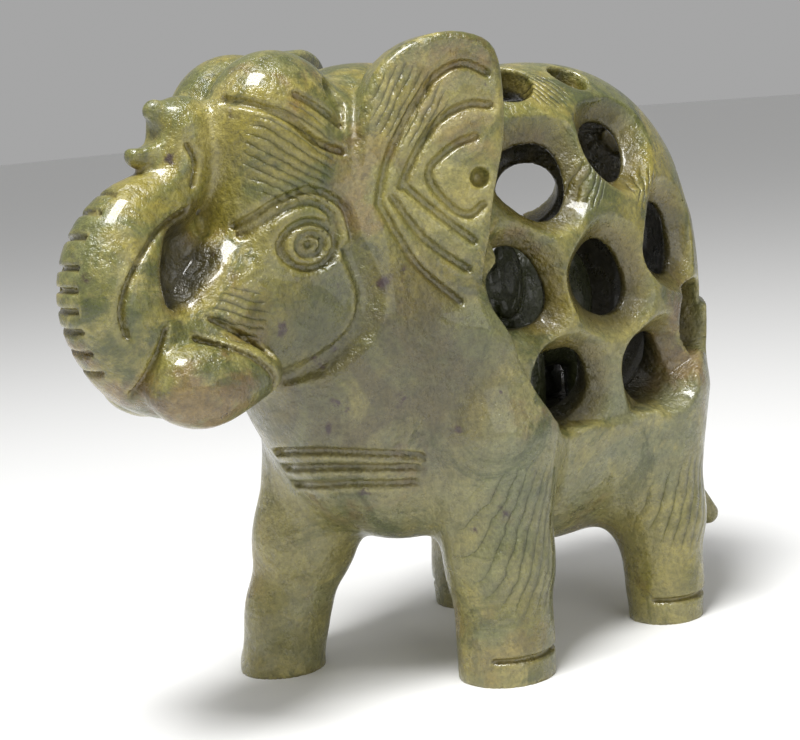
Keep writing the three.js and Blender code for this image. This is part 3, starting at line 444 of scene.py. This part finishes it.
def elephant(x, y, z):
    ax = np.abs(x)
    d = squared_ellipsoid(x, y, z, BODY_CENTRE, BODY_HALF, BODY_POWER)
    d = join(d, ellipsoid(x, y, z, *CHEST), SOFT["chest"])
    d = join(d, ellipsoid(ax, y, z, *SHOULDER), SOFT["shoulder"])
    d = join(d, ellipsoid(x, y, z, *NECK), SOFT["neck"])
    d = join(d, ellipsoid(x, y, z, *THROAT), SOFT["throat"])
    legs = where(z < LEGS_TOP, lambda m: leg_distance(x[m], y[m], z[m]), FAR)
    d = join(d, legs, SOFT["legs"])
    pierced = (y > CAGE_FRONT) & (z > CAGE_BELOW)
    saddle = where(pierced, lambda m: outline_distance(y[m], z[m], SADDLE), FAR)
    cage = np.clip(0.5 - saddle / CAGE_EDGE, 0, 1)
    front = (y < HEAD_BEHIND) & (z > HEAD_BELOW)
    head = where(front, lambda m: head_distance(x[m], y[m], z[m]), FAR)
    d = join(d + SADDLE_STEP * cage, head, SOFT["head"])

    def hollowed(m):
        half = [h - CAGE_WALL - (HOLLOW_CROWN if i == 2 else 0) for i, h in enumerate(BODY_HALF)]
        hollow = squared_ellipsoid(x[m], y[m], z[m], HOLLOW_CENTRE, half, HOLLOW_POWER)
        hollow = np.maximum(hollow, np.maximum(CAGE_FLOOR - z[m], z[m] - CAGE_TOP))
        beyond = np.maximum(z[m] - DISH_END_ABOVE, y[m] - DISH_END_BEHIND)
        fade = np.clip(1 - beyond / DISH_END_OVER, 0, 1)
        flare = DISH_SPREAD * np.clip(1 + d[m] / DISH_DEPTH, 0, 1) * cage[m] * fade
        wy = y[m] + HAND_WAVER * np.sin(z[m] * WAVER_TURN[0] + WAVER_TURN[1])
        wz = z[m] + HAND_WAVER * np.sin(y[m] * WAVER_TURN[2] + WAVER_TURN[3])
        walls = carve(d[m], hollow, SOFT["hollow"])
        return carve(walls, hole_distance(x[m], wy, wz, flare), SOFT["hole"])

    d = where(pierced, hollowed, d)
    ears = ear_distance(ax, y, z)
    low = np.clip((EAR_FADE_BELOW - z) / EAR_FADE_OVER, 0, 1)
    d = join(d, ears, EAR_BLEND + EAR_FADE_BLEND * low)
    d = carved_lines(x, y, z, d, ears)
    return np.maximum(d, SOLES - z)


def inner_elephant(x, y, z):
    ax = np.abs(x)
    d = squared_ellipsoid(x, y, z, *INNER_BODY)
    d = join(d, ellipsoid(x, y, z, *INNER_HEAD), INNER_SOFT["head"])
    d = join(d, ellipsoid(ax, y, z, *INNER_EAR), INNER_SOFT["ear"])
    d = join(d, chain(x, y, z, INNER_TRUNK, INNER_SOFT["chain"]), INNER_SOFT["trunk"])
    for leg in INNER_LEGS:
        d = join(d, chain(ax, y, z, leg), INNER_SOFT["legs"])
    return np.maximum(d, -z)


# Meshing
def sampled(form, low, high, step):
    """Values of the form on a grid, worked out slab by slab."""
    axes = [np.arange(a, b + step, step, np.float32) for a, b in zip(low, high)]
    value = np.empty([len(a) for a in axes], np.float32)
    for i in range(0, len(axes[0]), SLAB):
        x, y, z = np.meshgrid(axes[0][i:i + SLAB], axes[1], axes[2], indexing="ij")
        value[i:i + SLAB] = form(x, y, z)
    value[value == 0] = 1e-6
    return value


def surface(form, low, high, step):
    """Vertices and four-sided faces where the form's value changes sign."""
    value = sampled(form, low, high, step)
    solid = value < 0
    n = np.array(value.shape) - 1
    corners = [(i, j, k) for i in (0, 1) for j in (0, 1) for k in (0, 1)]
    count = sum(solid[i:i + n[0], j:j + n[1], k:k + n[2]].astype(np.int8) for i, j, k in corners)
    cell = np.argwhere((count > 0) & (count < 8))
    index = np.full(n, -1, np.int32)
    index[tuple(cell.T)] = np.arange(len(cell))
    total, crossed = np.zeros((len(cell), 3)), np.zeros(len(cell))
    for c in corners:
        for axis in range(3):
            if c[axis]:
                continue
            e = np.eye(3, dtype=int)[axis]
            va = value[tuple((cell + c).T)]
            vb = value[tuple((cell + c + e).T)]
            hit = (va < 0) != (vb < 0)
            t = va[hit] / (va[hit] - vb[hit])
            total[hit] += np.array(c) + t[:, None] * e
            crossed[hit] += 1
    points = np.array(low) + (cell + total / crossed[:, None]) * step
    faces = []
    for axis in range(3):
        e = np.eye(3, dtype=int)
        u, v = e[(axis + 1) % 3], e[(axis + 2) % 3]
        ahead = [slice(1, None) if a == axis else slice(None) for a in range(3)]
        behind = [slice(None, -1) if a == axis else slice(None) for a in range(3)]
        change = np.argwhere(solid[tuple(behind)] != solid[tuple(ahead)])
        keep = np.all((change[:, None, :] - np.stack([u, v]) >= 0).all(2), axis=1)
        keep &= (change < n).all(1)
        change = change[keep]
        ring = np.stack([index[tuple((change - s).T)] for s in (0 * u, u, u + v, v)], -1)
        out = solid[tuple(change.T)]
        ring[~out] = ring[~out][:, ::-1]
        faces.append(ring[(ring >= 0).all(1)])
    faces = np.vstack(faces)
    return settled(points, form, step), faces


def gradient(form, p, e=0.15):
    steps = np.eye(3) * e
    g = [form(*(p + s).astype(np.float32).T) - form(*(p - s).astype(np.float32).T) for s in steps]
    return np.stack(g, -1) / (2 * e)


def settled(points, form, step):
    """The points moved onto the surface, by at most half a step."""
    p = points.copy()
    d = form(*p.astype(np.float32).T)
    g = gradient(form, p)
    p -= g * (d / np.maximum((g * g).sum(1), 0.25))[:, None]
    return np.clip(p, points - step / 2, points + step / 2)


def mesh_object(name, points, faces):
    mesh = bpy.data.meshes.new(name)
    mesh.vertices.add(len(points))
    mesh.vertices.foreach_set("co", points.astype(np.float32).ravel())
    mesh.loops.add(faces.size)
    mesh.loops.foreach_set("vertex_index", faces.astype(np.int32).ravel())
    mesh.polygons.add(len(faces))
    mesh.polygons.foreach_set("loop_start", np.arange(0, faces.size, 4, dtype=np.int32))
    mesh.update(calc_edges=True)
    mesh.validate()
    mesh.shade_smooth()
    piece = bpy.data.objects.new(name, mesh)
    bpy.context.scene.collection.objects.link(piece)
    return piece


def thinned(piece, most):
    """The piece with at most that many triangles."""
    triangles = sum(len(p.vertices) - 2 for p in piece.data.polygons)
    if triangles > most:
        modifier = piece.modifiers.new("thin", "DECIMATE")
        modifier.ratio = most / triangles
        graph = bpy.context.evaluated_depsgraph_get()
        piece.data = bpy.data.meshes.new_from_object(piece.evaluated_get(graph))
        piece.modifiers.clear()
    return piece


def vertices_of(piece):
    co = np.empty(len(piece.data.vertices) * 3, np.float32)
    piece.data.vertices.foreach_get("co", co)
    return co.reshape(-1, 3).astype(float)


def note(piece, name, values):
    """A number for each vertex, for the material to read."""
    layer = piece.data.attributes.new(name, "FLOAT", "POINT")
    layer.data.foreach_set("value", np.ascontiguousarray(values, np.float32))


def crevice_shade_and_edges(piece, form, reach):
    """How deep in a crevice each vertex lies, for painted shade, and how exposed its edge is, from 0 to 1."""
    p = vertices_of(piece)
    g = gradient(form, p)
    normal = g / np.maximum(np.linalg.norm(g, axis=1, keepdims=True), 1e-6)
    out = form(*(p + normal * reach).astype(np.float32).T)
    back = form(*(p - normal * reach).astype(np.float32).T)
    note(piece, "crevice", np.clip(1 - out / reach, 0, 1))
    note(piece, "edge", np.clip(1 + back / reach, 0, 1))


def form_to_world(point):
    return (np.array(point) * SCALE + SHIFT) * MM


def place(piece, points, scale, move):
    piece.data.vertices.foreach_set("co", ((points * scale + move) * MM).astype(np.float32).ravel())
    piece.data.update()


# The outer elephant
points, faces = surface(elephant, *OUTER_ROOM, VOXEL)
outer = thinned(mesh_object("carved_elephant", points, faces), MOST_TRIANGLES)
crevice_shade_and_edges(outer, elephant, CREVICE_AND_EDGE_REACH)
form_points = vertices_of(outer)
note(outer, "height", form_points[:, 2])
half = (form_points[:, 1].max() + form_points[:, 1].min()) / 2
SHIFT = np.array([0, -half * SCALE, -SOLES * SCALE])
lowest = np.abs(form_points[:, 2] - SOLES) < VOXEL / 2
form_points[lowest, 2] = SOLES
px, py, pz = form_points.T
# Painted shade: darker deeper in the hollow of the cage and in the trunk's pocket
in_hollow = squared_ellipsoid(px, py, pz, BODY_CENTRE, [h - SHADE_START for h in BODY_HALF], BODY_POWER)
inside = np.clip(-in_hollow / CAGE_WALL, 0, 1) * (py > SHADE_FRONT) * (pz > CAGE_FLOOR - SHADE_UNDER_FLOOR)
pocket = chain(np.abs(px), py, pz, TRUNK_POCKET)
inside = np.maximum(inside, POCKET_SHADE * np.clip(1 - pocket / POCKET_REACH, 0, 1))
note(outer, "inside", inside)
place(outer, form_points, SCALE, SHIFT)
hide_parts("elephant")
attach(outer, "root")

# The inner elephant
points, faces = surface(inner_elephant, *INNER_ROOM, INNER_VOXEL)
inner = mesh_object("carved_inner_elephant", points, faces)
crevice_shade_and_edges(inner, inner_elephant, INNER_CREVICE_AND_EDGE_REACH)
inner_points = vertices_of(inner)
inner_points[np.abs(inner_points[:, 2]) < INNER_VOXEL / 2, 2] = 0
note(inner, "height", inner_points[:, 2])
# Painted shade: the whole inner elephant is darkened like the hollow it sits in
note(inner, "inside", np.ones(len(inner_points)))
inner_move = SHIFT + np.array([*INNER_PLACE, CAGE_FLOOR]) * SCALE + (0, 0, LOOSE_GAP)
place(inner, inner_points, INNER_HEIGHT / INNER_FORM_HEIGHT, inner_move)
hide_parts("inner_elephant")
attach(inner, "root")


# Materials
class Nodes:
    """A short way to build a node tree."""

    def __init__(self, name):
        self.material = bpy.data.materials.new(name)
        self.material.use_nodes = True
        self.tree = self.material.node_tree
        self.shader = self.tree.nodes["Principled BSDF"]

    def put(self, socket, value):
        if isinstance(value, bpy.types.NodeSocket):
            self.tree.links.new(value, socket)
        elif value is not None:
            socket.default_value = value

    def node(self, kind, out=0, values=(), **settings):
        n = self.tree.nodes.new(kind)
        for key, value in settings.items():
            setattr(n, key, value)
        for key, value in dict(values).items():
            self.put(n.inputs[key], value)
        return n.outputs[out]

    def attribute(self, name):
        return self.node("ShaderNodeAttribute", "Fac", attribute_name=name)

    def math(self, kind, a, b=None, c=None):
        return self.node("ShaderNodeMath", 0, {0: a, 1: b, 2: c}, operation=kind)

    def times(self, a, b):
        return self.math("MULTIPLY", a, b)

    def distance(self, place, at):
        """Distance from a place to a point given on the form."""
        values = {0: place, 1: tuple(form_to_world(at))}
        return self.node("ShaderNodeVectorMath", "Value", values, operation="DISTANCE")

    def noise(self, scale, detail=4, rough=0.55, place=None, distortion=0):
        values = {"Scale": scale, "Detail": detail, "Roughness": rough, "Distortion": distortion,
                  "Vector": place or self.place}
        return self.node("ShaderNodeTexNoise", "Fac", values)

    def ramp(self, value, low, high):
        return self.node("ShaderNodeMapRange", 0, {"Value": value, "From Min": low, "From Max": high},
                         interpolation_type="SMOOTHSTEP")

    def mix(self, amount, a, b, kind="MIX"):
        n = self.tree.nodes.new("ShaderNodeMix")
        n.data_type = "RGBA"
        n.blend_type = kind
        self.put(n.inputs["Factor"], amount)
        self.put(n.inputs[6], a)
        self.put(n.inputs[7], b)
        return n.outputs[2]

    @property
    def place(self):
        return self.node("ShaderNodeTexCoord", "Object")

    def warped_place(self, scale, reach):
        """The place, pushed about by noise so that outlines come out ragged."""
        values = {"Scale": scale, "Detail": 3, "Vector": self.place}
        push = self.node("ShaderNodeTexNoise", "Color", values)
        push = self.node("ShaderNodeVectorMath", 0, {0: push, 1: (0.5, 0.5, 0.5)}, operation="SUBTRACT")
        push = self.node("ShaderNodeVectorMath", 0, {0: push, "Scale": reach}, operation="SCALE")
        return self.node("ShaderNodeVectorMath", 0, {0: self.place, 1: push}, operation="ADD")


def srgb(r, g, b):
    """A colour on the 0 to 255 scale, as the linear colour that the shader takes."""
    out = []
    for v in (r, g, b):
        v /= 255
        out.append(v / 12.92 if v <= 0.04045 else ((v + 0.055) / 1.055) ** 2.4)
    return (*out, 1)


YELLOW_OLIVE = srgb(126, 116, 48)
PALE_YELLOW = srgb(154, 144, 84)
GREY_GREEN = srgb(92, 94, 46)
PALE_GREY = srgb(116, 117, 92)
DEEP_GREEN = srgb(58, 66, 26)
RUST = srgb(112, 76, 46)
NECK_BROWN = srgb(72, 64, 38)
# painted shade: brown darkening for crevices, grooves and the mouth of the hollow
PAINTED_SHADE_BROWN = srgb(92, 76, 24)
PLUM = srgb(44, 20, 26)
# painted shade deep in the hollow and the pocket
HOLLOW_PAINTED_SHADE = srgb(27, 26, 14)
# painted shade over the whole inner elephant, as a dark green
INNER_PAINTED_SHADE = srgb(60, 66, 34)

# Plum stains in the stone: place on the form and radius
STAINS = (
    (13.6, -24.7, 48.1, 1.5), (14.2, -22.1, 49.2, 1.1), (8.8, -35.6, 44.8, 0.9), (3.9, -41, 53.4, 0.9),
    (2.8, -55.9, 52, 1.3), (8.8, -30.9, 39.7, 1.2), (9.2, -29.2, 41.2, 1), (7.4, -29.1, 31.8, 0.9),
    (9.7, -19.9, 21.3, 1), (2.6, -43.9, 64, 0.9), (6.3, -37.3, 68.7, 0.8), (18.2, -10.5, 69.4, 0.6),
    (13.2, -23.3, 34.6, 0.8), (14.7, -15.6, 36.9, 0.8), (-9, -30, 45, 1.3), (-14, -18, 38, 1.1),
    (-18, 12, 25, 1.2), (12, 30, 27, 0.9),
    (9, -29.3, 35.1, 0.9), (7, -29.2, 31.7, 0.7), (15, -16.7, 30.2, 0.8), (6.5, -23.9, 23.3, 0.6),
    (15.3, -15.1, 17.6, 0.6), (18.2, -12.8, 20, 0.8), (9.5, -28.4, 34.1, 0.6), (10.9, -19, 25.4, 0.5),
    (18.2, -12.2, 33.6, 0.5),
)

# Broad changes of tone: middle on the form, reach, strength and colour
PATCHES = (
    ((11, -24, 38), 20, 0.85, NECK_BROWN),
    ((18, -17, 62), 14, 0.6, PALE_YELLOW),
    ((9, -34, 46), 11, 0.5, DEEP_GREEN),
    ((10, -38, 60), 9, 0.35, DEEP_GREEN),
    ((17, -8, 18), 9, 0.5, DEEP_GREEN),
    ((-12, -24, 18), 12, 0.5, PALE_YELLOW),
    ((19, 6, 52), 12, 0.4, GREY_GREEN),
    ((-11, -24, 38), 19, 0.6, NECK_BROWN),
    ((-18, -17, 62), 14, 0.5, PALE_YELLOW),
    ((0, 38, 50), 14, 0.4, DEEP_GREEN),
)

# Fine parallel chisel strokes: middle on the form, radius of the patch, direction across the strokes, pitch
HATCHES = (
    ((9.4, -32.6, 63.4), 6, (0, 0.55, 0.84), 0.95),
    ((13.6, -18.5, 67.5), 5, (0, 0.87, -0.5), 0.8),
    ((9.6, 7.9, 67), 3.5, (0, 0.9, 0.4), 0.8),
    ((17, 6.8, 56.4), 3.6, (0, 0.82, -0.57), 0.75),
    ((17, 18.4, 54.5), 3.4, (0, 0.82, -0.57), 0.75),
    ((18.5, -9.5, 16), 10, (0, 0.92, -0.39), 1.3),
    ((8.4, -40.6, 46.6), 3.6, (0, 0.35, 0.94), 0.9),
    ((-9.4, -32.6, 63.4), 6, (0, 0.55, 0.84), 0.95),
    ((-18.5, 14, 22), 8, (0, 0.92, -0.39), 1.3),
    ((17.5, 20, 14), 7, (0, 0.95, -0.3), 1.3),
)


# Share of its radius over which a patch has its full strength
HATCH_FULL, STAIN_FULL, PATCH_FULL = 0.7, 0.3, 0.4


def chisel_strokes(m, warped):
    """How deep in a chisel stroke each place lies."""
    strokes = None
    for at, radius, across, pitch in HATCHES:
        along = m.node("ShaderNodeVectorMath", "Value", {0: warped, 1: across}, operation="DOT_PRODUCT")
        wave = m.math("ABSOLUTE", m.math("SINE", m.times(along, math.pi / (pitch * MM))))
        patch = m.ramp(m.distance(m.place, at), radius * MM, radius * MM * HATCH_FULL)
        mark = m.times(m.math("SUBTRACT", 1, m.math("POWER", wave, 0.5)), patch)
        strokes = mark if strokes is None else m.math("MAXIMUM", strokes, mark)
    return strokes


def plum_stains(m, cloud):
    """Where the stone is stained: a few flecks anywhere, and the ragged spots of the list."""
    stains = m.times(m.ramp(m.noise(480, 3, 0.6), 0.69, 0.75), m.ramp(cloud, 0.45, 0.6))
    ragged = m.warped_place(420, 0.0034)
    for x, y, z, radius in STAINS:
        spot = m.ramp(m.distance(ragged, (x, y, z)), radius * MM, radius * MM * STAIN_FULL)
        stains = m.math("MAXIMUM", stains, spot)
    return m.times(stains, m.ramp(m.noise(900, 3, 0.7), 0.35, 0.55))


def mottling(m, broad, cloud, blotch, warped):
    """The stone's own colours, by noise, by height and by broad patches."""
    height = m.attribute("height")
    colour = m.mix(m.ramp(cloud, 0.44, 0.56), YELLOW_OLIVE, GREY_GREEN)
    colour = m.mix(m.times(m.ramp(broad, 0.48, 0.62), 0.6), colour, YELLOW_OLIVE)
    low = m.times(m.ramp(height, 50, 26), m.ramp(broad, 0.25, 0.5))
    colour = m.mix(m.times(low, 0.55), colour, PALE_GREY)
    colour = m.mix(m.times(m.ramp(blotch, 0.5, 0.66), 0.65), colour, PALE_YELLOW)
    green = m.ramp(m.noise(80, 6, 0.72, distortion=1.5), 0.49, 0.6)
    colour = m.mix(m.times(green, 0.75), colour, DEEP_GREEN)
    rust = m.times(m.ramp(m.noise(85, 5, 0.65), 0.52, 0.64), m.ramp(broad, 0.4, 0.55))
    colour = m.mix(m.times(rust, 0.5), colour, RUST)
    feet = m.times(m.ramp(height, 24, 8), m.ramp(broad, 0.35, 0.6))
    colour = m.mix(m.times(feet, 0.6), colour, YELLOW_OLIVE)
    for at, reach, amount, tone in PATCHES:
        near = m.ramp(m.distance(warped, at), reach * MM, reach * MM * PATCH_FULL)
        patch = m.times(near, m.ramp(blotch, 0.2, 0.6))
        colour = m.mix(m.times(patch, amount), colour, tone)
    return colour


def soapstone(name, shade_tint=None):
    """Waxed green soapstone: mottled, with painted shade in its crevices, hollows and pocket, lighter on
    exposed edges, with plum stains and chisel marks.
    """
    m = Nodes(name)
    broad = m.noise(38, 4, 0.6, distortion=0.5)
    cloud = m.noise(58, 5, 0.6, distortion=0.8)
    blotch = m.noise(125, 5, 0.66, distortion=1)
    fine = m.noise(620, 4, 0.7)
    speck = m.noise(1900, 2, 0.7)
    warped = m.warped_place(260, 0.0012)
    strokes = chisel_strokes(m, warped)

    colour = mottling(m, broad, cloud, blotch, warped)
    colour = m.mix(m.times(m.ramp(m.attribute("edge"), 0.15, 0.7), 0.4), colour, PALE_YELLOW)
    # Painted shade: brown darkening in crevices and grooves
    crevice_shade = m.times(m.ramp(m.attribute("crevice"), 0.2, 0.9), m.ramp(fine, 0.1, 0.6))
    colour = m.mix(m.times(crevice_shade, 0.4), colour, PAINTED_SHADE_BROWN)
    colour = m.mix(m.times(strokes, 0.4), colour, DEEP_GREEN)
    colour = m.mix(m.times(plum_stains(m, cloud), 0.9), colour, PLUM)
    # Painted shade: brown, then near black, deeper in the cage's hollow and the trunk's pocket
    inside = m.attribute("inside")
    colour = m.mix(m.times(m.ramp(inside, 0, 0.4), 0.55), colour, PAINTED_SHADE_BROWN)
    colour = m.mix(m.times(m.ramp(inside, 0.2, 0.95), 0.93), colour, HOLLOW_PAINTED_SHADE)
    # Painted shade: the inner elephant's colour is pulled to a shaded dark green
    if shade_tint:
        colour = m.mix(0.6, colour, shade_tint)
    grain = m.math("ADD", m.times(m.ramp(fine, 0.2, 0.8), 0.5), m.times(m.ramp(speck, 0.25, 0.75), 0.5))
    m.put(m.shader.inputs["Base Color"], m.mix(0.4, colour, grain, "OVERLAY"))

    rough = m.math("MULTIPLY_ADD", m.ramp(m.noise(420, 4, 0.7), 0.3, 0.7), 0.34, 0.18)
    m.put(m.shader.inputs["Roughness"], rough)
    m.shader.inputs["IOR"].default_value = 1.55
    m.shader.inputs["Coat Weight"].default_value = 0.4
    m.shader.inputs["Coat Roughness"].default_value = 0.06

    bumps = m.math("ADD", m.times(fine, 0.7), m.times(cloud, 1.2))
    bumps = m.math("ADD", bumps, m.times(speck, 0.12))
    bumps = m.math("ADD", bumps, m.times(m.noise(260, 3, 0.6), 0.8))
    bumps = m.math("SUBTRACT", bumps, m.times(strokes, 0.55))
    bump = m.node("ShaderNodeBump", 0, {"Height": bumps, "Strength": 0.9, "Distance": 0.0007})
    m.put(m.shader.inputs["Normal"], bump)
    return m.material


outer.data.materials.append(soapstone("soapstone"))
inner.data.materials.append(soapstone("inner_soapstone", INNER_PAINTED_SHADE))


# Floor, light and camera, in metres
FLOOR_HALF = 3.0
LIT_POINT = (0, 0, 0.04)
WORLD_STRENGTH = 0.38


def floor():
    mesh = bpy.data.meshes.new("floor")
    corners = [(a * FLOOR_HALF, b * FLOOR_HALF, 0) for a, b in ((-1, -1), (1, -1), (1, 1), (-1, 1))]
    mesh.from_pydata(corners, [], [(0, 1, 2, 3)])
    piece = bpy.data.objects.new("floor", mesh)
    bpy.context.scene.collection.objects.link(piece)
    m = Nodes("pale_floor")
    m.shader.inputs["Base Color"].default_value = (0.86, 0.86, 0.85, 1)
    m.shader.inputs["Roughness"].default_value = 0.7
    mesh.materials.append(m.material)


def area_light(name, place, target, size, power):
    light = bpy.data.lights.new(name, "AREA")
    light.shape = "RECTANGLE"
    light.size, light.size_y = size
    light.energy = power
    lamp = bpy.data.objects.new(name, light)
    lamp.location = place
    aim = np.array(target) - np.array(place)
    lamp.rotation_euler = Matrix(look(aim)).to_euler()
    bpy.context.scene.collection.objects.link(lamp)


def look(aim, roll=0.0):
    """Rotation whose -Z points along aim and whose Y is up, turned by roll."""
    back = -aim / np.linalg.norm(aim)
    right = np.cross((0, 0, 1), back)
    right /= np.linalg.norm(right)
    up = np.cross(back, right)
    c, s = math.cos(roll), math.sin(roll)
    return np.stack([right * c + up * s, up * c - right * s, back], -1).tolist()


floor()
area_light("softbox_above", (0.05, -0.12, 0.42), LIT_POINT, (0.14, 0.14), 2.4)
area_light("window_left", (-0.25, -0.4, 0.25), LIT_POINT, (0.25, 0.25), 0.15)
area_light("fill_right", (0.5, -0.1, 0.2), LIT_POINT, (0.3, 0.3), 0.6)
world = bpy.data.worlds.new("studio")
world.use_nodes = True
world.node_tree.nodes["Background"].inputs["Color"].default_value = (1, 1, 1, 1)
world.node_tree.nodes["Background"].inputs["Strength"].default_value = WORLD_STRENGTH
bpy.context.scene.world = world
bpy.context.scene.view_settings.view_transform = "Standard"

# The photograph was taken close up, from the elephant's left front
AZIMUTH, ELEVATION, ROLL = math.radians(48), math.radians(8.5), math.radians(-5)
DISTANCE = 230  # form millimetres
TARGET = np.array([-2.7, -8.5, 34.8])
IMAGE_WIDTH = 800
FOCAL_PIXELS = 1835
SENSOR_WIDTH = 36
camera = bpy.data.cameras.new("camera")
camera.sensor_width = SENSOR_WIDTH
camera.lens = FOCAL_PIXELS / IMAGE_WIDTH * camera.sensor_width
camera.clip_start, camera.clip_end = 0.01, 20
eye = bpy.data.objects.new("camera", camera)
back = np.array([math.sin(AZIMUTH) * math.cos(ELEVATION), -math.cos(AZIMUTH) * math.cos(ELEVATION),
                 math.sin(ELEVATION)])
eye.matrix_world = Matrix.Translation(((TARGET + back * DISTANCE) * SCALE + SHIFT) * MM) @ \
    Matrix(look(-back, ROLL)).to_4x4()
bpy.context.scene.collection.objects.link(eye)
bpy.context.scene.camera = eye
